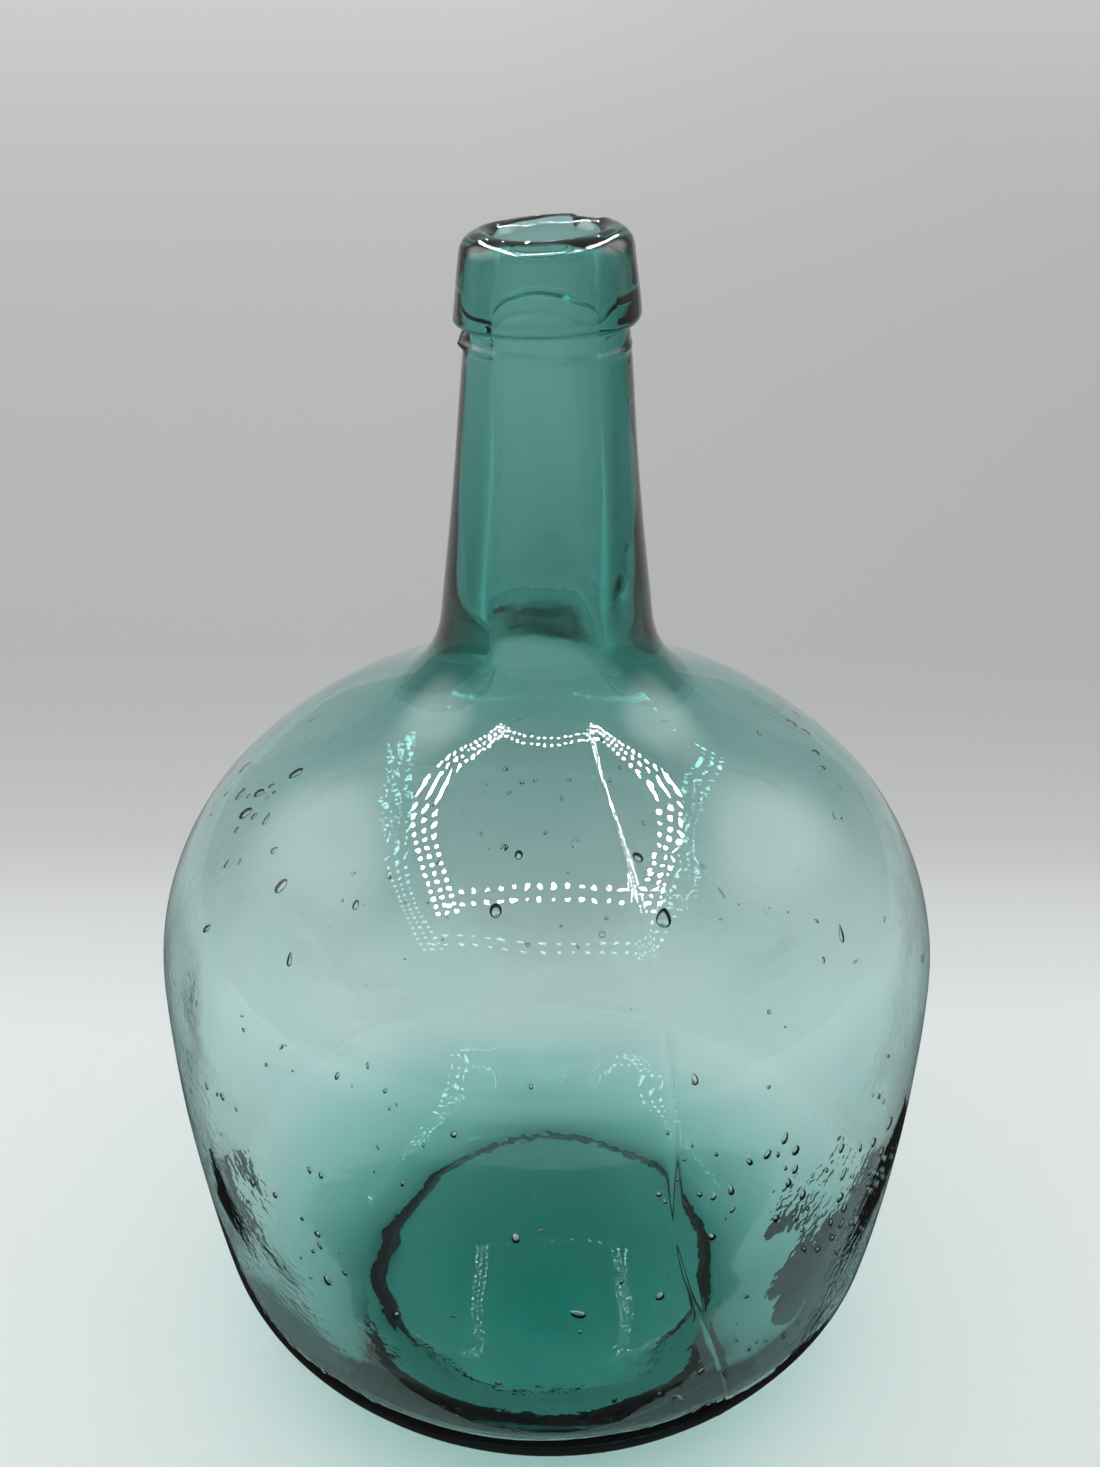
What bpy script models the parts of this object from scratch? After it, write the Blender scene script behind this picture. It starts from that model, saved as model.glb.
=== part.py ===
"""Small glass carboy, about two litres: a mould-blown vessel and the lip that is applied round its mouth.

Metres, +Z up. The origin is on the axis, in the plane of the ring that the carboy rests on.
"""

import bmesh
import bpy
import numpy as np
from mathutils import Vector
from mathutils.geometry import interpolate_bezier

# Outside of the body: a curved heel, a side that draws in towards it, and a domed shoulder
HEIGHT = 0.2450
BODY_RADIUS = 0.0790
WIDEST_HEIGHT = 0.0999
SIDE_DROP = 0.01465
HEEL_HEIGHT = 0.0343
HEEL_POWER = 1.9
SHOULDER_RISE = 0.06075
SHOULDER_POWER = 2.08

# Resting ring, flat and narrow, and the push-up inside it
RING_OUTER_RADIUS = 0.0428
RING_INNER_RADIUS = 0.0400
PUSH_UP = 0.0060

# Walls, thickest in the floor and the neck
SIDE_WALL = 0.0019
SHOULDER_WALL = 0.0027
FLOOR_RADIUS = 0.0345
FLOOR_EDGE_HEIGHT = 0.0098
FLOOR_CENTRE_HEIGHT = 0.0165

# Neck: its outside tapers upwards in a slightly hollow line, and its bore is straight but for the foot
NECK_FOOT_HEIGHT = 0.1740
NECK_FOOT_RADIUS = 0.0201
NECK_TOP_HEIGHT = 0.2280
NECK_TOP_RADIUS = 0.01475
NECK_HOLLOW = 0.0004
NECK_END_HEIGHT = 0.2362
BORE_RADIUS = 0.0090
BORE_FOOT_HEIGHT = 0.1710
BORE_FOOT_RADIUS = 0.0116

# Rounding from the shoulder into the neck, outside and inside
FILLET_START_HEIGHT = 0.1497
INNER_FILLET_START_HEIGHT = 0.1500
FILLET_HANDLE = 0.4

# Applied lip: a collar, wider at its lower edge, that wraps the end of the neck
LIP_GAP = 0.0003
LIP_LOWER_HEIGHT = 0.2293
LIP_LOWER_RADIUS = 0.0166
LIP_LOWER_ROUND = 0.0012
LIP_UPPER_RADIUS = 0.0152
RIM_OUTER_ROUND = 0.0038
RIM_INNER_ROUND = 0.0026

# Tessellation
TURN_STEPS = 48
HEEL_STEPS = 9
SIDE_STEPS = 5
SHOULDER_STEPS = 9
FILLET_STEPS = 7
NECK_STEPS = 4
DOME_STEPS = 4
ROUND_STEPS = 4
MERGE_DISTANCE = 0.00001

GLASS_COLOUR = (0.22, 0.52, 0.46, 1.0)
GLASS_ROUGHNESS = 0.05
GLASS_IOR = 1.5


def side_radius(widest, height):
    """The body's side, which draws in below its widest height."""
    return widest - SIDE_DROP * (1 - height / WIDEST_HEIGHT) ** 2


def shoulder_radius(widest, rise, height):
    """The domed shoulder, a superellipse above the widest height."""
    return widest * np.sqrt(1 - ((height - WIDEST_HEIGHT) / rise) ** SHOULDER_POWER)


def neck_radius(height):
    """Outside of the neck above its foot."""
    along = (height - NECK_FOOT_HEIGHT) / (NECK_TOP_HEIGHT - NECK_FOOT_HEIGHT)
    straight = NECK_FOOT_RADIUS + (NECK_TOP_RADIUS - NECK_FOOT_RADIUS) * along
    return straight - 4 * NECK_HOLLOW * along * (1 - along)


def bore_radius(height):
    """Bore of the neck, a slight taper that ends level with the applied lip."""
    along = (height - BORE_FOOT_HEIGHT) / (NECK_END_HEIGHT - BORE_FOOT_HEIGHT)
    return BORE_FOOT_RADIUS + (BORE_RADIUS - BORE_FOOT_RADIUS) * along


def body_points(widest, ring_radius, ring_height, rise, shoulder_end):
    """A body surface as (radius, height) points, from its ring or floor edge up to shoulder_end."""
    points = []
    undercut = side_radius(widest, ring_height) - ring_radius
    for climb in np.linspace(0, 1, HEEL_STEPS, endpoint=False):
        height = ring_height + (HEEL_HEIGHT - ring_height) * climb
        points.append((side_radius(widest, height) - undercut * (1 - climb) ** HEEL_POWER, height))
    for height in np.linspace(HEEL_HEIGHT, WIDEST_HEIGHT, SIDE_STEPS, endpoint=False):
        points.append((side_radius(widest, height), height))
    end_angle = np.arcsin((shoulder_end - WIDEST_HEIGHT) / rise)
    for angle in np.linspace(0, end_angle, SHOULDER_STEPS):
        height = WIDEST_HEIGHT + rise * np.sin(angle)
        points.append((shoulder_radius(widest, rise, height), height))
    return points


def fillet_points(start, before_start, end, after_end):
    """The rounding between two points, which leaves each along the line from its outer neighbour."""
    start, before_start, end, after_end = (Vector(p) for p in (start, before_start, end, after_end))
    handle = FILLET_HANDLE * (end - start).length
    leave = start + (start - before_start).normalized() * handle
    arrive = end + (end - after_end).normalized() * handle
    curve = interpolate_bezier(start, leave, arrive, end, FILLET_STEPS + 1)
    return [(point.x, point.y) for point in curve[1:-1]]


def surface_points(body, neck_line, neck_foot, neck_end):
    """A whole surface: the body, the fillet and the neck."""
    neck = [(neck_line(height), height) for height in np.linspace(neck_foot, neck_end, NECK_STEPS + 1)]
    return body + fillet_points(body[-1], body[-2], neck[0], neck[1]) + neck


def dome(radius, edge_height, centre_height):
    """A shallow dome from its edge to the axis, with the edge left out."""
    outward = np.linspace(1, 0, DOME_STEPS + 1)[1:]
    return [(radius * u, centre_height + (edge_height - centre_height) * u**2) for u in outward]


def arc(centre_radius, centre_height, size, start, end):
    """Points of a round corner, between two angles in degrees from +X towards +Z."""
    angles = np.radians(np.linspace(start, end, ROUND_STEPS + 1))
    return [(centre_radius + size * np.cos(a), centre_height + size * np.sin(a)) for a in angles]


def vessel_profile():
    """From the floor's centre up the inside, over the neck's end, down the outside and under the base."""
    inner_rise = SHOULDER_RISE - SHOULDER_WALL
    inner_body = body_points(
        BODY_RADIUS - SIDE_WALL, FLOOR_RADIUS, FLOOR_EDGE_HEIGHT, inner_rise, INNER_FILLET_START_HEIGHT
    )
    outer_body = body_points(BODY_RADIUS, RING_OUTER_RADIUS, 0.0, SHOULDER_RISE, FILLET_START_HEIGHT)
    inside = surface_points(inner_body, bore_radius, BORE_FOOT_HEIGHT, NECK_END_HEIGHT)
    outside = surface_points(outer_body, neck_radius, NECK_FOOT_HEIGHT, NECK_END_HEIGHT)
    floor = dome(FLOOR_RADIUS, FLOOR_EDGE_HEIGHT, FLOOR_CENTRE_HEIGHT)
    underside = dome(RING_INNER_RADIUS, 0.0, PUSH_UP)
    return floor[::-1] + inside + outside[::-1] + [(RING_INNER_RADIUS, 0.0)] + underside


def lip_profile():
    """A closed outline: over the rim, down the collar, up the neck's side and up the bore."""
    neck_end = NECK_END_HEIGHT + LIP_GAP
    outer_round = arc(
        LIP_UPPER_RADIUS - RIM_OUTER_ROUND, HEIGHT - RIM_OUTER_ROUND, RIM_OUTER_ROUND, 90, 0
    )
    lower_round = arc(
        LIP_LOWER_RADIUS - LIP_LOWER_ROUND, LIP_LOWER_HEIGHT + LIP_LOWER_ROUND, LIP_LOWER_ROUND, 0, -90
    )
    inner_round = arc(
        BORE_RADIUS + RIM_INNER_ROUND, HEIGHT - RIM_INNER_ROUND, RIM_INNER_ROUND, 180, 90
    )
    beside_neck = [(neck_radius(height) + LIP_GAP, height) for height in (LIP_LOWER_HEIGHT, neck_end)]
    return outer_round + lower_round + beside_neck + [(BORE_RADIUS, neck_end)] + inner_round


def turned(name, profile, closed, collection, material):
    """A solid of revolution about Z from (radius, height) points."""
    section = bmesh.new()
    points = [section.verts.new((radius, 0.0, height)) for radius, height in profile]
    for first, second in zip(points, points[1:]):
        section.edges.new((first, second))
    if closed:
        section.edges.new((points[-1], points[0]))
    mesh = bpy.data.meshes.new(name)
    section.to_mesh(mesh)
    section.free()
    mesh.materials.append(material)
    obj = bpy.data.objects.new(name, mesh)
    collection.objects.link(obj)
    screw = obj.modifiers.new("turn", "SCREW")
    screw.axis = "Z"
    screw.steps = TURN_STEPS
    screw.render_steps = TURN_STEPS
    screw.use_merge_vertices = True
    screw.merge_threshold = MERGE_DISTANCE
    screw.use_smooth_shade = True
    return obj


def glass(name):
    """Clear blue-green bottle glass."""
    material = bpy.data.materials.new(name)
    material.use_nodes = True
    shader = material.node_tree.nodes["Principled BSDF"]
    shader.inputs["Base Color"].default_value = GLASS_COLOUR
    shader.inputs["Roughness"].default_value = GLASS_ROUGHNESS
    shader.inputs["Metallic"].default_value = 0.0
    shader.inputs["IOR"].default_value = GLASS_IOR
    shader.inputs["Transmission Weight"].default_value = 1.0
    return material


def main():
    for obj in list(bpy.data.objects):
        bpy.data.objects.remove(obj)
    carboy = bpy.data.collections.new("glass_carboy")
    bpy.context.scene.collection.children.link(carboy)
    turned("blown_vessel", vessel_profile(), False, carboy, glass("vessel_glass"))
    turned("applied_lip", lip_profile(), True, carboy, glass("lip_glass"))


main()
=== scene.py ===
import math
import random

import bpy
import numpy as np
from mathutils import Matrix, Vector, noise
from mathutils.geometry import interpolate_bezier


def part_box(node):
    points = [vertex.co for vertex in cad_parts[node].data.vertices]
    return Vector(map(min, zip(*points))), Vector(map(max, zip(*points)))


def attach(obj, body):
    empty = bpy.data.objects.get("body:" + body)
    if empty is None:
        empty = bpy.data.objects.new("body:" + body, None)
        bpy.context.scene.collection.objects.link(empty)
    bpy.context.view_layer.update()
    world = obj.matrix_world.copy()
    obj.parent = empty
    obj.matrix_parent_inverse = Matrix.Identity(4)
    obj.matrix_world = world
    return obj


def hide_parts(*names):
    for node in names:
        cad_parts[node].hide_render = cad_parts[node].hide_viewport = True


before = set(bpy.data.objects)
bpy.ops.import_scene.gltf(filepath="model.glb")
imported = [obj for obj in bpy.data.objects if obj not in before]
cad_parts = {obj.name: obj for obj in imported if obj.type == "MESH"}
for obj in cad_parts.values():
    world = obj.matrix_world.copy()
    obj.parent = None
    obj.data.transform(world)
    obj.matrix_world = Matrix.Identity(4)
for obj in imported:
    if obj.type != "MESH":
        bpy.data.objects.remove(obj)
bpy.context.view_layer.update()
MM = 0.001

# ---------------------------------------------------------------- driving dimensions, from the frame
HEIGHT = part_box("applied_lip")[1].z
BODY_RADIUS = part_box("blown_vessel")[1].x
NECK_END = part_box("blown_vessel")[1].z
LIP_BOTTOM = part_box("applied_lip")[0].z
LIP_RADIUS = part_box("applied_lip")[1].x

# outside of the body, as shares of the height
WIDEST = 0.4078 * HEIGHT
SIDE_DROP = 0.0598 * HEIGHT
HEEL_TOP = 0.1400 * HEIGHT
HEEL_POWER = 1.9
SHOULDER_RISE = 0.2480 * HEIGHT
SHOULDER_POWER = 2.08
FILLET_START = 0.6110 * HEIGHT
NECK_FOOT = 0.7102 * HEIGHT
NECK_FOOT_RADIUS = 20.1 * MM
NECK_TOP = 228.0 * MM
NECK_TOP_RADIUS = 14.75 * MM
NECK_HOLLOW = 0.4 * MM

# underside: a resting ring, then a step up into the mould plate's dent
RING_OUTER = 42.8 * MM
RING_INNER = 39.6 * MM
STEP_RADIUS = 35.6 * MM
STEP_HEIGHT = 3.4 * MM
PUSH_UP = 6.0 * MM

# inside: the wall as pairs of height on the outside and thickness in millimetres, thick floor, and the bore
WALLS = (
    (15, 5.3), (19, 3.7), (23, 2.2), (28, 1.6), (38, 1.3),
    (118, 1.3), (130, 1.7), (139, 2.4), (145, 3.3), (150, 4.2),
)
FLOOR_CENTRE = 19.6 * MM
FLOOR_EDGE = 11.0 * MM
FLOOR_RADIUS = 36.0 * MM
BORE_FOOT = 171.0 * MM
BORE_FOOT_RADIUS = 11.6 * MM
BORE_RADIUS = 9.0 * MM
BORE_SIDESTEP = 0.5 * MM

# applied lip
LIP_UPPER_RADIUS = 15.2 * MM
RIM_OUTER_ROUND = 3.8 * MM
RIM_INNER_ROUND = 2.6 * MM
LIP_TILT = math.radians(2.6)
OVERFLOW_DROP = 3.6 * MM
OVERFLOW_FROM = LIP_BOTTOM - 6.5 * MM

# columns of the mesh round the axis, and the mould seam's place in degrees from the front
COLUMNS = 170
SEAM = 16.0


# ---------------------------------------------------------------- section
def side_radius(height):
    return BODY_RADIUS - SIDE_DROP * (1 - height / WIDEST) ** 2


def outer_body():
    undercut = side_radius(0.0) - RING_OUTER
    points = []
    for climb in np.linspace(0, 1, 24, endpoint=False):
        height = HEEL_TOP * climb
        points.append((side_radius(height) - undercut * (1 - climb) ** HEEL_POWER, height))
    for height in np.linspace(HEEL_TOP, WIDEST, 24, endpoint=False):
        points.append((side_radius(height), height))
    for angle in np.linspace(0, math.asin((FILLET_START - WIDEST) / SHOULDER_RISE), 40):
        radius = BODY_RADIUS * math.sqrt(1 - math.sin(angle) ** SHOULDER_POWER)
        points.append((radius, WIDEST + SHOULDER_RISE * math.sin(angle)))
    return points


def neck_radius(height):
    along = (height - NECK_FOOT) / (NECK_TOP - NECK_FOOT)
    straight = NECK_FOOT_RADIUS + (NECK_TOP_RADIUS - NECK_FOOT_RADIUS) * along
    return straight - 4 * NECK_HOLLOW * along * (1 - along)


def bore_radius(height):
    along = (height - BORE_FOOT) / (NECK_END - BORE_FOOT)
    return BORE_FOOT_RADIUS + (BORE_RADIUS - BORE_FOOT_RADIUS) * along


def bend(start, before, end, after, leaving=0.4, arriving=0.4):
    """Smooth run from start to end that leaves and arrives along the two neighbours."""
    start, before, end, after = (Vector(p) for p in (start, before, end, after))
    span = (end - start).length
    leave = start + (start - before).normalized() * leaving * span
    arrive = end + (end - after).normalized() * arriving * span
    return [(p.x, p.y) for p in interpolate_bezier(start, leave, arrive, end, 40)]


def arc(radius, height, size, start, end, steps=12):
    turn = np.radians(np.linspace(start, end, steps))
    return [(radius + size * np.cos(a), height + size * np.sin(a)) for a in turn]


def dish(radius, centre, edge):
    """Shallow bowl from its height at the axis to its height at the radius."""
    return [(radius * u, centre + (edge - centre) * u**2) for u in np.linspace(0, 1, 20)]


def upright(radius_at, start, end, steps=40):
    return [(radius_at(height), height) for height in np.linspace(start, end, steps)]


def thinned(points, spacing):
    """The line at equal steps along its length."""
    points = np.array(points)
    along = np.concatenate([[0], np.cumsum(np.linalg.norm(np.diff(points, axis=0), axis=1))])
    steps = np.linspace(0, along[-1], max(2, int(along[-1] / spacing) + 1))
    return np.stack([np.interp(steps, along, points[:, axis]) for axis in (0, 1)], axis=1)


def outward(points):
    """Unit vectors square to the line, on its right-hand side."""
    run = np.gradient(points, axis=0)
    run /= np.linalg.norm(run, axis=1)[:, None]
    return np.stack([run[:, 1], -run[:, 0]], axis=1)


def inner_body():
    """The outside moved in by the wall, from the heel to the shoulder, in equal steps."""
    outside = thinned(outer_body(), 1.0 * MM)
    heights, walls = (np.array(WALLS) * MM).T
    wall = np.interp(outside[:, 1], heights, walls)
    wall = np.convolve(np.pad(wall, 8, mode="edge"), np.ones(17) / 17, mode="valid")
    inside = outside - outward(outside) * wall[:, None]
    return inside[(outside[:, 1] > heights[0]) & (outside[:, 1] < FILLET_START)]


def section():
    """Rows of the outline, from the underside's centre up the outside, down the bore and to the floor's
    centre, and which of them are on the inside."""
    under = dish(STEP_RADIUS, PUSH_UP, STEP_HEIGHT)
    step = bend(under[-1], under[-2], (RING_INNER, 0.25 * MM), (RING_INNER + MM, 0.0))
    ring = [(RING_INNER + 0.9 * MM, 0.0), (RING_OUTER, 0.0)]
    body = outer_body()
    neck = upright(neck_radius, NECK_FOOT, OVERFLOW_FROM)
    overflow = upright(neck_radius, OVERFLOW_FROM, LIP_BOTTOM - 0.3 * MM)
    foot = bend(body[-1], body[-2], neck[0], neck[1])
    lip = [(neck_radius(LIP_BOTTOM) + 0.2 * MM, LIP_BOTTOM)]
    lip += arc(LIP_RADIUS - 1.2 * MM, LIP_BOTTOM + 1.2 * MM, 1.2 * MM, -90, 0)
    lip += arc(LIP_UPPER_RADIUS - RIM_OUTER_ROUND, HEIGHT - RIM_OUTER_ROUND, RIM_OUTER_ROUND, 0, 90)
    lip += arc(BORE_RADIUS + RIM_INNER_ROUND, HEIGHT - RIM_INNER_ROUND, RIM_INNER_ROUND, 90, 180)
    bore = upright(bore_radius, BORE_FOOT, NECK_END)
    inside = [tuple(p) for p in inner_body()]
    crown = bend(inside[-1], inside[-2], bore[0], bore[1], 0.42, 0.34)
    floor = dish(FLOOR_RADIUS, FLOOR_CENTRE, FLOOR_EDGE)
    heel = bend(floor[-1], floor[-2], inside[0], inside[1], 0.30, 0.45)
    # each run of the outline, and the spacing of its rows in millimetres
    outer_runs = (
        (under, 1.8), (step, 0.35), (ring, 0.9), (body, 1.8),
        (foot, 1.1), (neck, 1.3), (overflow, 0.4), (lip, 0.5),
    )
    inner_runs = (
        (bore[::-1], 1.3), (crown[::-1], 1.1), (inside[::-1], 1.8), (heel[::-1], 1.1), (floor[::-1], 1.6),
    )
    rows, on_inside = [], []
    for place, (run, spacing) in enumerate(outer_runs + inner_runs):
        run = thinned(run, spacing * MM)
        for point in run[1:] if rows and np.linalg.norm(run[0] - rows[-1]) < 0.2 * MM else run:
            rows.append(point)
            on_inside.append(place >= len(outer_runs))
    return np.array(rows), np.array(on_inside)


# ---------------------------------------------------------------- hand-made unevenness
def wander(points, wavelength, seed, stretch=1.0):
    """Smooth noise from about -1 to 1 over points; stretch lengthens it upwards."""
    scale = np.array([1, 1, 1 / stretch]) / wavelength
    shifted = points * scale + 7.31 * seed
    return np.array([noise.noise(Vector(p)) for p in shifted]) * 1.6


def ramp(value, low, high):
    share = np.clip((value - low) / (high - low), 0, 1)
    return share * share * (3 - 2 * share)


def window(value, low, high, soft):
    return ramp(value, low - soft, low + soft) * (1 - ramp(value, high - soft, high + soft))


def from_front(angle):
    """Degrees round from the front, -180 to 180, growing towards the right."""
    return (np.degrees(angle) + 90 + 180) % 360 - 180


def bump(value, middle, width):
    return np.exp(-(((value - middle) / width) ** 2))


def outer_push(points, front):
    """How far the outside stands proud of the turned shape, in metres."""
    z = points[:, 2] / MM
    body = ramp(z, 2, 12) * (1 - ramp(z, 160, 172))
    neck = ramp(z, 165, 180) * (1 - ramp(z, 222, 228))
    lip = ramp(z, 228, 231)
    push = body * (0.16 * wander(points, 34 * MM, 1) + 0.03 * wander(points, 11 * MM, 2))
    push += neck * (0.22 * wander(points, 24 * MM, 3, 1.6) + 0.05 * wander(points, 7 * MM, 4, 2.5))
    push += lip * (0.22 * wander(points, 13 * MM, 5) + 0.05 * wander(points, 5 * MM, 6))
    # where the lip's glass ran down over the neck
    edge = LIP_BOTTOM / MM - OVERFLOW_DROP / MM + 0.7 * wander(points * [1, 1, 0], 14 * MM, 7)
    push += 0.5 * bump(z, edge, 0.6) * (0.7 + 0.5 * wander(points, 9 * MM, 8))
    push += 0.95 * bump(z, 226.6, 1.9) * bump(front, -74, 7)
    return push * MM


def seam_push(points, off_seam):
    z = points[:, 2] / MM
    run = window(z, 6, 160, 6)
    ridge = bump(off_seam * np.hypot(points[:, 0], points[:, 1]) / MM, 0, 0.45)
    return run * ridge * (0.11 + 0.05 * wander(points, 8 * MM, 9)) * MM


def inner_push(points, front):
    """How far the inside stands in from the turned shape, in metres."""
    z = points[:, 2] / MM
    radius = np.hypot(points[:, 0], points[:, 1]) / MM
    floor = (1 - ramp(z, 17, 23)) * (radius < 60)
    body = ramp(z, 16, 30) * (1 - ramp(z, 150, 160))
    crown = ramp(z, 150, 158) * (1 - ramp(z, 174, 184))
    bore = ramp(z, 172, 184) * (1 - ramp(z, 240, 244))
    push = floor * (0.16 * wander(points, 26 * MM, 10) + 0.02 * wander(points, 9 * MM, 11))
    push += body * (0.30 * wander(points, 30 * MM, 12) + 0.05 * wander(points, 10 * MM, 13))
    push += crown * (0.30 * wander(points, 22 * MM, 14) + 0.04 * wander(points, 9 * MM, 15))
    push += bore * (0.30 * wander(points, 6 * MM, 16, 6.0) + 0.20 * wander(points, 18 * MM, 17, 2.0))
    # folds in the glass at the neck's foot, on the right
    push += 0.9 * bump(z, 178, 3.2) * bump(front, 78, 9) + 0.7 * bump(z, 185, 2.4) * bump(front, 92, 7)
    return push * MM


def lip_shift(points, front):
    """Tilt of the applied lip, its wavy lower edge and the chip at the back of the rim."""
    z = points[:, 2] / MM
    moved = points.copy()
    lip = ramp(z, 227.5, 231)
    moved[:, 2] += lip * points[:, 0] * math.tan(LIP_TILT)
    edge = window(z, 229, 234, 1.2)
    moved[:, 2] += edge * 0.45 * wander(points * [1, 1, 0], 12 * MM, 18) * MM
    radius = np.hypot(points[:, 0], points[:, 1]) / MM
    chipped = window(front, 126, 158, 5) * ramp(radius, 10.4, 12.2) * ramp(z, 240.5, 243.0)
    facets = np.array([noise.cell(Vector(p) / (2.6 * MM)) for p in points])
    moved[:, 2] -= chipped * (1.0 + 0.9 * facets) * MM
    return moved


def step_shift(points, front):
    """The dent's edge on the underside isn't round: it wanders, with a notch on the left."""
    radius = np.hypot(points[:, 0], points[:, 1])
    flat = points * [1, 1, 0]
    near = bump(radius / MM, 38.0, 6.0) * (1 - ramp(radius / MM, 41.2, 42.6))
    shift = 1.5 * wander(flat, 21 * MM, 19) - 0.4
    shift = shift - 3.6 * bump(front, -97, 8) + 0.8 * bump(front, -80, 9)
    grown = 1 + near * shift * MM / np.maximum(radius, MM)
    return flat * grown[:, None] + points * [0, 0, 1]


def seam_angle(height):
    """The mould seam's place round the body, which drifts to the right lower down."""
    return math.radians(SEAM - 90) + np.radians(16) * (1 - ramp(height / MM, 10, 100))


def columns():
    """Angles round the axis: even, with a tight bunch at the seam and behind it."""
    even = np.linspace(0, 360, COLUMNS, endpoint=False)
    bunch = np.array([-1.1, -0.7, -0.35, 0, 0.35, 0.7, 1.1])
    middle = (SEAM - 90) % 360
    kept = even[(abs(even - middle) > 1.5) & (abs(even - (middle + 180) % 360) > 1.5)]
    return np.radians(np.sort(np.concatenate([kept, middle + bunch, (middle + 180) % 360 + bunch])))


def shaped(radius, height, out_r, out_z, angle, is_inside):
    """Points of the finished surface for turned points (radius, height) at the angles."""
    x, y = radius * np.cos(angle), radius * np.sin(angle)
    points = np.stack([x, y, height], axis=-1)
    normal = np.stack([out_r * np.cos(angle), out_r * np.sin(angle), out_z], axis=-1)
    front = from_front(angle)
    push = np.where(is_inside, inner_push(points, front), outer_push(points, front))
    off = (angle - seam_angle(height) + math.pi / 2) % math.pi - math.pi / 2
    push = push + np.where(is_inside, 0, seam_push(points, off))
    moved = points + normal * push[:, None]
    moved = np.where((~is_inside & (height < 3 * MM))[:, None], step_shift(moved, front), moved)
    moved = np.where((height > 226 * MM)[:, None], lip_shift(moved, front), moved)
    bore = ramp(height / MM, 165, 178) * is_inside * (1 - ramp(height / MM, 238, 244))
    moved[:, 0] -= bore * BORE_SIDESTEP
    return moved


def glass_body():
    rows, on_inside = section()
    normal = outward(rows)
    angles = columns()
    count = len(angles)
    middle = slice(1, -1)
    radius, height = (np.repeat(rows[middle, axis], count) for axis in (0, 1))
    out_r, out_z = (np.repeat(normal[middle, axis], count) for axis in (0, 1))
    inside = np.repeat(on_inside[middle], count)
    drift = np.repeat(seam_angle(rows[middle, 1]) - math.radians(SEAM - 90), count)
    angle = np.tile(angles, len(rows) - 2)
    angle = angle + drift * abs(np.cos(angle - math.radians(SEAM - 90))) ** 3
    grid = shaped(radius, height, out_r, out_z, angle, inside)
    verts = np.concatenate([grid, [[0, 0, rows[0, 1]], [0, 0, rows[-1, 1]]]])
    index = np.arange(len(grid)).reshape(-1, count)
    after = np.roll(index, -1, axis=1)
    faces = np.stack([index[:-1], after[:-1], after[1:], index[1:]], axis=-1).reshape(-1, 4).tolist()
    faces += [[len(grid), int(b), int(a)] for a, b in zip(index[0], after[0])]
    faces += [[len(grid) + 1, int(a), int(b)] for a, b in zip(index[-1], after[-1])]
    return verts, faces


# ---------------------------------------------------------------- seeds, the bubbles in the glass
class Wall:
    """Looks up the middle of the wall, so that a bubble sits inside the glass."""

    def __init__(self):
        self.outer = thinned(outer_body(), 0.5 * MM)
        self.out = outward(self.outer)
        self.heights, self.walls = (np.array(WALLS) * MM).T

    def at(self, front, height):
        """Middle of the wall, the outward direction, the upward direction and the wall's thickness."""
        angle = math.radians(front - 90)
        place = int(np.argmin(abs(self.outer[:, 1] - height)))
        out = self.out[place]
        wall = float(np.interp(height, self.heights, self.walls))
        outer = self.outer[place]
        inner = outer - out * wall
        ends = []
        for point, is_inside in ((outer, False), (inner, True)):
            values = [np.array([v]) for v in (point[0], point[1], out[0], out[1], angle)]
            if is_inside:
                values[2], values[3] = -values[2], -values[3]
            ends.append(shaped(*values, np.array([is_inside]))[0])
        towards = Vector((out[0] * math.cos(angle), out[0] * math.sin(angle), out[1]))
        across = Vector((-math.sin(angle), math.cos(angle), 0))
        gap = (ends[0] - ends[1]) @ np.array(towards)
        return Vector((ends[0] + ends[1]) / 2), towards, towards.cross(across), gap


def bubble(centre, towards, up, size, lean, taper, fine):
    """Closed cavity, its faces turned to the air inside it. The size is its length, width and thickness."""
    length, width, thickness = size
    rings, sides = (7, 14) if fine else (4, 8)
    side = towards.cross(up).normalized()
    along = (up * math.cos(lean) + side * math.sin(lean)).normalized()
    across = towards.cross(along).normalized()
    verts = [centre - along * length / 2, centre + along * length / 2]
    for ring in range(1, rings):
        tilt = math.pi * ring / rings
        narrow = 1 + taper * math.cos(tilt)
        for turn in np.linspace(0, 2 * math.pi, sides, endpoint=False):
            reach = math.sin(tilt) * narrow
            verts.append(
                centre
                - along * (length / 2 * math.cos(tilt))
                + across * (width / 2 * reach * math.cos(turn))
                + towards * (thickness / 2 * reach * math.sin(turn))
            )
    faces = []
    for side_no in range(sides):
        following = (side_no + 1) % sides
        faces.append([0, 2 + side_no, 2 + following])
        for ring in range(rings - 2):
            a, b = 2 + ring * sides, 2 + (ring + 1) * sides
            faces.append([a + side_no, b + side_no, b + following, a + following])
        last = 2 + (rings - 2) * sides
        faces.append([1, last + following, last + side_no])
    return verts, faces


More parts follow.
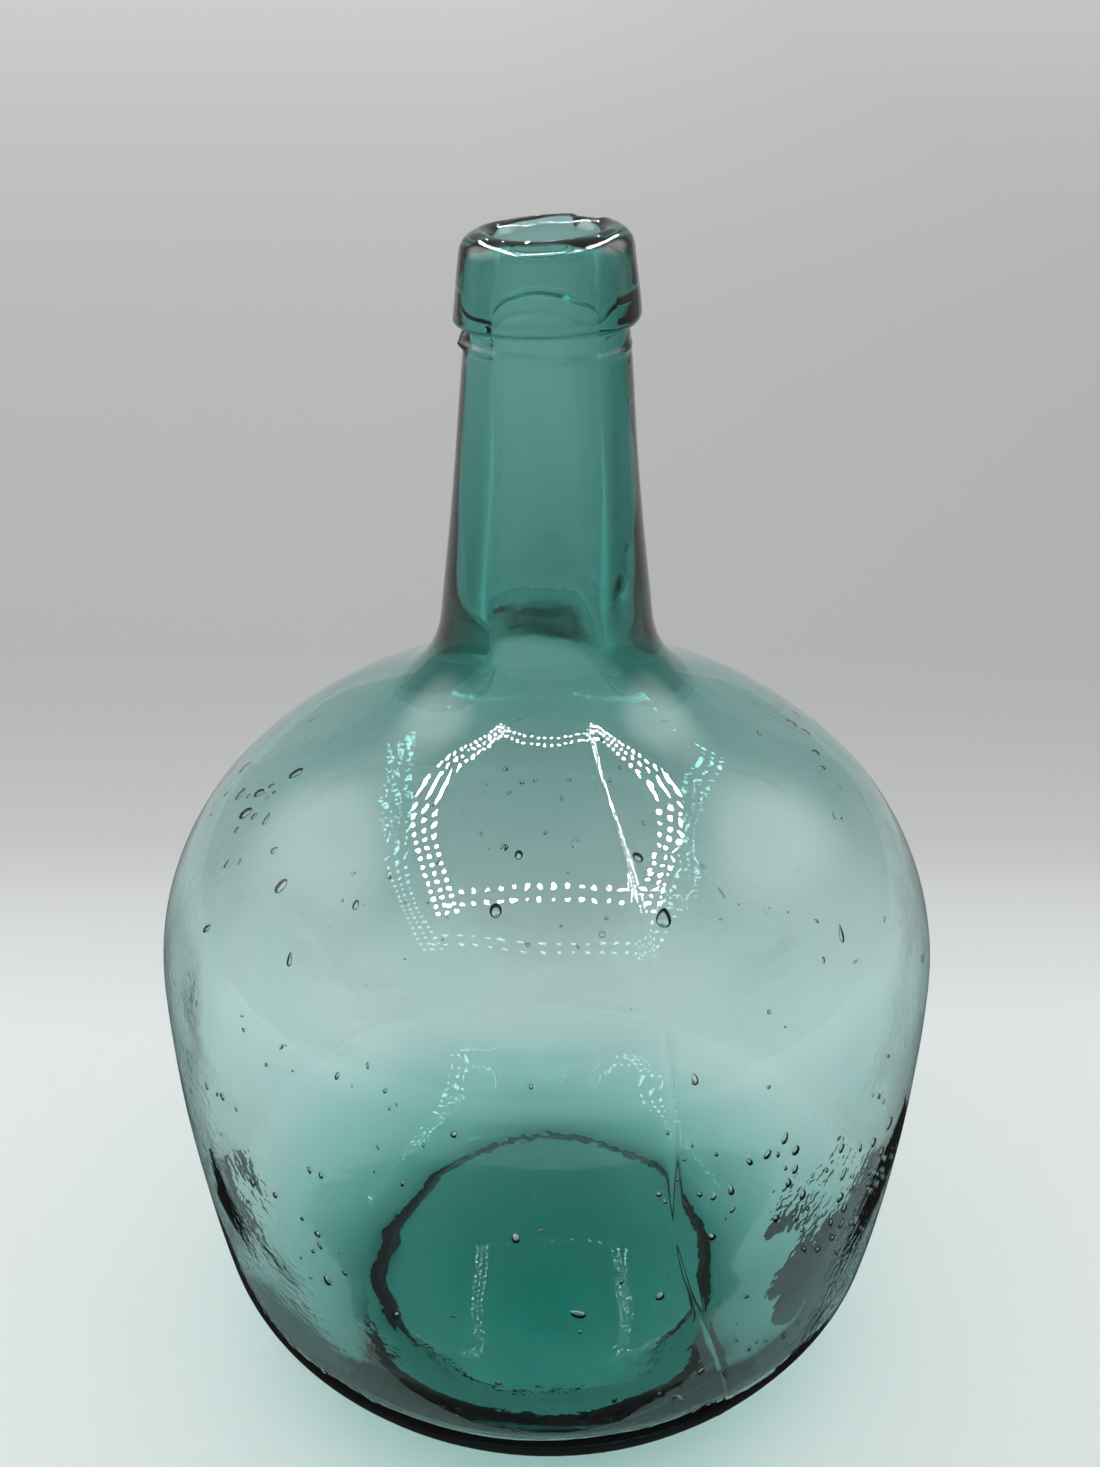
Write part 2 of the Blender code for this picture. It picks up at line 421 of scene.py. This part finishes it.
def seeds():
    """""Big seeds given one by one, then clusters and a thin scatter from a fixed random sequence."""
    pick = random.Random(11)
    wall = Wall()
    # degrees from the front, height, length, width, lean in degrees, taper
    placed = [
        (20, 141, 3.6, 2.7, -20, 0.3), (-9, 143, 2.7, 2.2, 10, 0.0), (-6, 149, 1.9, 1.5, 0, 0.0),
        (19, 148, 2.2, 1.7, 30, 0.1), (-61, 125, 2.8, 1.2, -35, 0.3), (-41, 130, 2.6, 1.1, 20, 0.3),
        (-34, 140, 2.0, 1.2, 10, 0.1), (32, 142, 2.4, 0.5, 8, 0.0), (50, 130, 3.4, 1.1, -25, 0.4),
        (-4, 90, 2.4, 1.5, 5, 0.2), (24, 95, 2.9, 1.1, 15, 0.5), (15, 73, 2.2, 1.7, 0, 0.3),
        (-32, 67, 2.6, 1.6, 10, 0.2), (32, 102, 2.6, 1.3, -15, 0.3), (-54, 97, 1.8, 0.9, 5, 0.1),
        (140, 120, 2.6, 1.7, 0, 0.2), (-150, 84, 2.4, 1.5, 12, 0.3), (170, 60, 2.6, 1.6, -10, 0.2),
        (-120, 132, 2.8, 1.6, 20, 0.2), (108, 88, 2.2, 1.5, 0, 0.2), (4, 71, 3.2, 2.0, 60, 0.2),
    ]
    wanted = [(*seed, True) for seed in placed]
    # middle and spread of each cluster in degrees and millimetres, how many, typical length
    clusters = [
        (-80, 18, 138, 8, 28, 3.0), (53, 18, 73, 11, 60, 2.6), (38, 14, 88, 18, 24, 2.2),
        (100, 22, 145, 6, 18, 2.2), (20, 10, 100, 18, 14, 1.9), (-42, 16, 80, 18, 18, 1.8),
        (-170, 40, 100, 40, 34, 2.0), (30, 24, 44, 10, 14, 1.8), (-20, 20, 112, 16, 14, 1.5),
    ]
    for front, spread, height, rise, count, size in clusters:
        for _ in range(count):
            place = pick.gauss(front, spread / 2), pick.gauss(height, rise / 2)
            length = size * pick.uniform(0.45, 1.25)
            shape = length, length * pick.uniform(0.4, 0.8), pick.uniform(-35, 35), pick.uniform(0, 0.5)
            wanted.append((*place, *shape, False))
    for _ in range(120):
        place = pick.uniform(-180, 180), pick.uniform(32, 148)
        length = 0.45 + pick.random() ** 2 * 1.3
        shape = length, length * pick.uniform(0.5, 1.0), pick.uniform(-90, 90), 0.0
        wanted.append((*place, *shape, False))
    verts, faces, taken = [], [], []
    for front, height, length, width, lean, taper, fine in wanted:
        height = min(max(height, 31), 149)
        centre, towards, up, gap = wall.at(front, height * MM)
        if any((centre - other).length < (length + reach) * 0.6 * MM for other, reach in taken):
            continue
        taken.append((centre, length))
        thickness = min(width * 0.8 * MM, gap * 0.5)
        size = length * MM, width * MM, thickness
        points, sides = bubble(centre, towards, up, size, math.radians(lean), taper, fine)
        faces += [[len(verts) + i for i in face] for face in sides]
        verts += points
    return verts, faces


def smooth_object(name, verts, faces):
    mesh = bpy.data.meshes.new(name)
    mesh.from_pydata([tuple(v) for v in verts], [], faces)
    mesh.shade_smooth()
    mesh.update()
    obj = bpy.data.objects.new(name, mesh)
    bpy.context.scene.collection.objects.link(obj)
    return obj


# ---------------------------------------------------------------- node helpers
def ranged(tree, source, from_low, from_high, to_low, to_high):
    """Output of a node that maps one range of the source to another."""
    node = tree.nodes.new("ShaderNodeMapRange")
    for socket, value in zip(node.inputs[1:5], (from_low, from_high, to_low, to_high)):
        socket.default_value = value
    tree.links.new(source, node.inputs[0])
    return node.outputs[0]


def worked_out(tree, operation, first, second):
    """Output of a maths node; second is another output or a number."""
    node = tree.nodes.new("ShaderNodeMath")
    node.operation = operation
    tree.links.new(first, node.inputs[0])
    if isinstance(second, float):
        node.inputs[1].default_value = second
    else:
        tree.links.new(second, node.inputs[1])
    return node.outputs[0]


def mixed(tree, factor, first, second):
    """Output that is first where the factor is 0 and second where it is 1; each is an output or a number."""
    node = tree.nodes.new("ShaderNodeMix")
    tree.links.new(factor, node.inputs["Factor"])
    for name, value in (("A", first), ("B", second)):
        if isinstance(value, float):
            node.inputs[name].default_value = value
        else:
            tree.links.new(value, node.inputs[name])
    return node.outputs["Result"]


def noise_node(tree, place, scale, detail=2.0):
    node = tree.nodes.new("ShaderNodeTexNoise")
    node.inputs["Scale"].default_value = scale
    node.inputs["Detail"].default_value = detail
    tree.links.new(place, node.inputs["Vector"])
    return node.outputs["Fac"]


# ---------------------------------------------------------------- glass
def glass_material():
    """Clear, smooth glass, green only by what it absorbs, with fine relief in patches above the floor."""
    material = bpy.data.materials.new("green_glass")
    material.use_nodes = True
    tree = material.node_tree
    tree.nodes.clear()
    shader = tree.nodes.new("ShaderNodeBsdfPrincipled")
    shader.inputs["Base Color"].default_value = (1, 1, 1, 1)
    shader.inputs["Roughness"].default_value = 0.0
    shader.inputs["IOR"].default_value = 1.52
    shader.inputs["Transmission Weight"].default_value = 1.0
    place = tree.nodes.new("ShaderNodeTexCoord").outputs["Object"]
    split = tree.nodes.new("ShaderNodeSeparateXYZ")
    tree.links.new(place, split.inputs[0])
    grain = noise_node(tree, place, 520.0, 1.0)
    patches = ranged(tree, noise_node(tree, place, 28.0), 0.45, 0.62, 0.12, 1.0)
    above_floor = ranged(tree, split.outputs["Z"], 0.022, 0.036, 0.0, 1.0)
    grainy = worked_out(tree, "MULTIPLY", patches, above_floor)
    relief = tree.nodes.new("ShaderNodeBump")
    relief.inputs["Strength"].default_value = 1.0
    relief.inputs["Distance"].default_value = 0.03 * MM
    tree.links.new(worked_out(tree, "MULTIPLY", grain, grainy), relief.inputs["Height"])
    tree.links.new(relief.outputs["Normal"], shader.inputs["Normal"])
    absorb = tree.nodes.new("ShaderNodeVolumeAbsorption")
    absorb.inputs["Color"].default_value = (0.053, 0.642, 0.590, 1)
    absorb.inputs["Density"].default_value = 150.0
    out = tree.nodes.new("ShaderNodeOutputMaterial")
    tree.links.new(shader.outputs["BSDF"], out.inputs["Surface"])
    tree.links.new(absorb.outputs["Volume"], out.inputs["Volume"])
    return material


verts, faces = glass_body()
seed_verts, seed_faces = seeds()
faces += [[len(verts) + i for i in face] for face in seed_faces]
bottle = smooth_object("glass_carboy", [*verts, *seed_verts], faces)
bottle.data.materials.append(glass_material())
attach(bottle, "root")
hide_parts("blown_vessel", "applied_lip")


# ---------------------------------------------------------------- stage
# how far back the paper's painted light fall-off runs, in metres
PAINTED_FALLOFF_DEPTH = 4.0
# the room's strength where it is looked at directly, and through the glass towards the rear
OPEN_ROOM = 0.62


def paper_floor():
    """""Pale paper with painted light fall-off: lightest in front of the bottle and just behind it, darkest
    a third of a metre behind it, and a little darker to the right by painted shade. The lighter paper has a
    faint painted green cast, for light through the green glass.
    """
    bpy.ops.mesh.primitive_circle_add(vertices=96, radius=9, fill_type="NGON", location=(0, 0, -0.0002))
    obj = bpy.context.object
    obj.name = "floor"
    material = bpy.data.materials.new("floor_paper_painted_shade")
    material.use_nodes = True
    tree = material.node_tree
    shader = tree.nodes["Principled BSDF"]
    shader.inputs["Roughness"].default_value = 0.9
    shader.inputs["Specular IOR Level"].default_value = 0.2
    place = tree.nodes.new("ShaderNodeTexCoord")
    split = tree.nodes.new("ShaderNodeSeparateXYZ")
    tree.links.new(place.outputs["Object"], split.inputs[0])
    # painted shade: the paper's lightness is set by distance behind the bottle, standing for light that
    # falls off
    painted_falloff = tree.nodes.new("ShaderNodeValToRGB")
    tree.links.new(worked_out(tree, "DIVIDE", split.outputs["Y"], PAINTED_FALLOFF_DEPTH), painted_falloff.inputs[0])
    # painted shade: the paper darkens a little towards the right
    painted_side_shade = ranged(tree, split.outputs["X"], -0.1, 0.5, 1.0, 0.91)
    shade = tree.nodes.new("ShaderNodeVectorMath")
    shade.operation = "SCALE"
    tree.links.new(painted_falloff.outputs[0], shade.inputs[0])
    tree.links.new(painted_side_shade, shade.inputs["Scale"])
    tree.links.new(shade.outputs[0], shader.inputs["Base Color"])
    # distance behind the bottle in metres, and the painted light on the paper there
    stops = (
        (0.10, 0.92), (0.166, 0.75), (0.20, 0.63), (0.25, 0.57), (0.30, 0.53), (0.36, 0.51),
        (0.60, 0.53), (1.0, 0.56), (1.6, 0.61), (2.8, 0.68), (PAINTED_FALLOFF_DEPTH, 0.72),
    )
    elements = painted_falloff.color_ramp.elements
    while len(elements) < len(stops):
        elements.new(0.5)
    for element, (distance, painted_light) in zip(elements, stops):
        element.position = distance / PAINTED_FALLOFF_DEPTH
        # painted light: a faint green cast on the lighter paper, for light through the green glass
        green = 0.025 * max(0, painted_light - 0.6) / 0.3
        element.color = (painted_light * (0.99 - green), painted_light, painted_light * (0.995 - 0.1 * green), 1)
    obj.data.materials.append(material)


def soft_room():
    """Even white light. What the glass mirrors or shows through itself is darker towards the front."""
    room = bpy.data.worlds.new("studio")
    room.use_nodes = True
    tree = room.node_tree
    place = tree.nodes.new("ShaderNodeTexCoord")
    split = tree.nodes.new("ShaderNodeSeparateXYZ")
    tree.links.new(place.outputs["Generated"], split.inputs[0])
    rays = tree.nodes.new("ShaderNodeLightPath").outputs
    mirrored = ranged(tree, split.outputs["Y"], -0.75, -0.25, 0.10, 0.42)
    seen_through = ranged(tree, split.outputs["Y"], -0.60, -0.15, 0.05, OPEN_ROOM)
    light = mixed(tree, rays["Is Transmission Ray"], OPEN_ROOM, seen_through)
    light = mixed(tree, rays["Is Glossy Ray"], light, mirrored)
    # light that reaches the paper through the glass is made up for what the walls lose
    after_paper = worked_out(tree, "GREATER_THAN", rays["Diffuse Depth"], 0.5)
    under_glass = worked_out(tree, "MULTIPLY", after_paper, rays["Is Transmission Ray"])
    light = mixed(tree, under_glass, light, 2.2)
    light = mixed(tree, rays["Is Diffuse Ray"], light, 0.9)
    background = tree.nodes["Background"]
    background.inputs["Color"].default_value = (1, 1, 1, 1)
    tree.links.new(light, background.inputs["Strength"])
    bpy.context.scene.world = room


def panel(name, corners, colour, glow, soft_from=None, far_glow=0.3, reach=(0.06, 0.26)):
    """Quads that show only in reflections and through glass. With soft_from, the glow holds up to the first
    distance of reach from there, and is far_glow from the second on."""
    mesh = bpy.data.meshes.new(name)
    faces = [list(range(4 * i, 4 * i + 4)) for i in range(len(corners) // 4)]
    mesh.from_pydata(corners, [], faces)
    obj = bpy.data.objects.new(name, mesh)
    bpy.context.scene.collection.objects.link(obj)
    material = bpy.data.materials.new(name)
    material.use_nodes = True
    tree = material.node_tree
    shader = tree.nodes["Principled BSDF"]
    shader.inputs["Base Color"].default_value = (colour, colour, colour, 1)
    shader.inputs["Roughness"].default_value = 1.0
    shader.inputs["Specular IOR Level"].default_value = 0.0
    shader.inputs["Emission Color"].default_value = (1, 1, 1, 1)
    shader.inputs["Emission Strength"].default_value = glow
    if soft_from:
        place = tree.nodes.new("ShaderNodeTexCoord")
        distance = tree.nodes.new("ShaderNodeVectorMath")
        distance.operation = "DISTANCE"
        distance.inputs[1].default_value = soft_from
        tree.links.new(place.outputs["Object"], distance.inputs[0])
        fade = ranged(tree, distance.outputs["Value"], *reach, glow, far_glow)
        fade.node.interpolation_type = "SMOOTHSTEP"
        tree.links.new(fade, shader.inputs["Emission Strength"])
    mesh.materials.append(material)
    obj.visible_camera = False
    obj.visible_diffuse = False
    obj.visible_shadow = False
    return obj


def only_mirrored(obj):
    """Shows the panel only to rays that glass has mirrored, so it isn't seen straight through the glass."""
    tree = obj.data.materials[0].node_tree
    rays = tree.nodes.new("ShaderNodeLightPath")
    mirrored = worked_out(tree, "GREATER_THAN", rays.outputs["Glossy Depth"], 0.5)
    clear = tree.nodes.new("ShaderNodeBsdfTransparent")
    mix = tree.nodes.new("ShaderNodeMixShader")
    tree.links.new(mirrored, mix.inputs[0])
    tree.links.new(clear.outputs[0], mix.inputs[1])
    tree.links.new(tree.nodes["Principled BSDF"].outputs[0], mix.inputs[2])
    tree.links.new(mix.outputs[0], tree.nodes["Material Output"].inputs["Surface"])


def light_frame():
    """Rows of small lamps over the bottle, as in a photographer's light tent."""
    height = 0.52
    front, back = -0.17, 0.38
    half = 3.6 * MM
    spots = [(x, -0.125) for x in np.linspace(-0.15, 0.15, 14)]
    spots += [(x, -0.155) for x in np.linspace(-0.18, 0.18, 16)]
    spots += [(x, back) for x in np.linspace(-0.2, 0.2, 14)]
    for side in (-1, 1):
        for gap in (0, 0.019, 0.038):
            for y in np.linspace(front, back, 29):
                spots.append((side * (0.168 + gap + 0.08 * (y - front)), y))
    corners = []
    for x, y in spots:
        corners += [
            (x - half, y - half, height), (x - half, y + half, height),
            (x + half, y + half, height), (x + half, y - half, height),
        ]
    panel("light_frame", corners, 0.0, 190.0)


def side_panels():
    """""Painted reflections: glowing patches for the lit sides of a light tent, brightest in the middle,
    seen only in the glass's mirror images.
    """
    for name, side in (("left_panel", -0.36), ("right_panel", 0.36)):
        corners = [(side, -0.25, 0.10), (side, 0.5, 0.10), (side, 0.5, 0.80), (side, -0.25, 0.80)]
        patch = panel(name, corners, 0.0, 3.2, (side, 0.10, 0.45), 0.3, (0.07, 0.28))
        patch.visible_transmission = False


def painted_contact_shadow():
    """""Corners of a painted contact shadow: a dark strip on the paper under the resting ring, ragged, and
    open in front.
    """
    edge = []
    for front in np.arange(62, 299, 4):
        angle = math.radians(front - 90)
        side = front - 360 if front > 180 else front
        ripple = 0.4 * math.sin(math.radians(7 * front))
        middle = 39.8 - 2.6 * bump(side, -97, 9) + 0.8 * bump(side, -80, 9) + ripple
        ripple = 0.25 * math.sin(math.radians(23 * front))
        half = 1.1 + 1.1 * bump(side, -100, 30) + 0.6 * bump(side, 90, 20) + ripple
        half *= float(window(np.array(front), 66, 294, 8))
        across = Vector((math.cos(angle), math.sin(angle), 0)) * MM
        below = Vector((0, 0, -0.1 * MM))
        edge.append([across * (middle - half) + below, across * (middle + half) + below])
    corners = []
    for (near, far), (next_near, next_far) in zip(edge, edge[1:]):
        corners += [near, far, next_far, next_near]
    return corners


def dark_front():
    """""Painted shade: dark sheets for the unlit side that the camera looks in from, seen only in the
    glass's reflections, and dark patches on the paper, painted shadow, that show through the heel and the
    base.
    From other sides, and most from above, they show through the glass as hard-edged black patches."""
    # painted shade: a dark card on the paper in front of the bottle, seen only in the glass's mirror images
    near = [(-0.13, -0.24, 0.001), (0.15, -0.24, 0.001), (0.15, -0.08, 0.001), (-0.13, -0.08, 0.001)]
    only_mirrored(panel("dark_near", near, 0.04, 0.0))
    # painted shadow: dark patches on the paper beside the heel and base, seen through the glass
    shadow_patches = [
        (0.046, -0.026, 0), (0.066, -0.022, 0), (0.094, 0.026, 0), (0.062, 0.020, 0),
        (0.062, 0.020, 0), (0.094, 0.026, 0), (0.104, 0.056, 0), (0.080, 0.048, 0),
        (-0.080, 0.006, 0), (-0.070, 0.014, 0), (-0.082, 0.046, 0), (-0.094, 0.040, 0),
    ]
    panel("painted_shadow_patches", shadow_patches + painted_contact_shadow(), 0.015, 0.0)
    # painted shade: a dark sheet over the paper and standing in front, glowing a little more further from
    # the front, seen only in the glass's reflections
    around = [
        (-1.2, -1.2, 0.002), (1.2, -1.2, 0.002), (1.2, 0.3, 0.002), (-1.2, 0.3, 0.002),
        (-1.2, -0.9, 0.0), (1.2, -0.9, 0.0), (1.2, -0.9, 0.4), (-1.2, -0.9, 0.4),
    ]
    dark = panel("dark_front", around, 0.0, 0.02, (0, -0.26, 0), 0.5, (0.33, 0.80))
    dark.visible_transmission = False


def camera():
    """Close to the bottle, in front of it and looking down."""
    down, turn = 27.45, -0.12
    data = bpy.data.cameras.new("camera")
    data.lens = 41.08
    data.sensor_width = 36
    cam = bpy.data.objects.new("camera", data)
    cam.location = (0, -0.294, 0.3001)
    cam.rotation_euler = (math.radians(90 - down), 0, math.radians(turn))
    bpy.context.scene.collection.objects.link(cam)
    bpy.context.scene.camera = cam


paper_floor()
soft_room()
light_frame()
side_panels()
dark_front()
camera()
scene = bpy.context.scene
scene.view_settings.view_transform = "Standard"
scene.cycles.max_bounces = 24
scene.cycles.transmission_bounces = 24
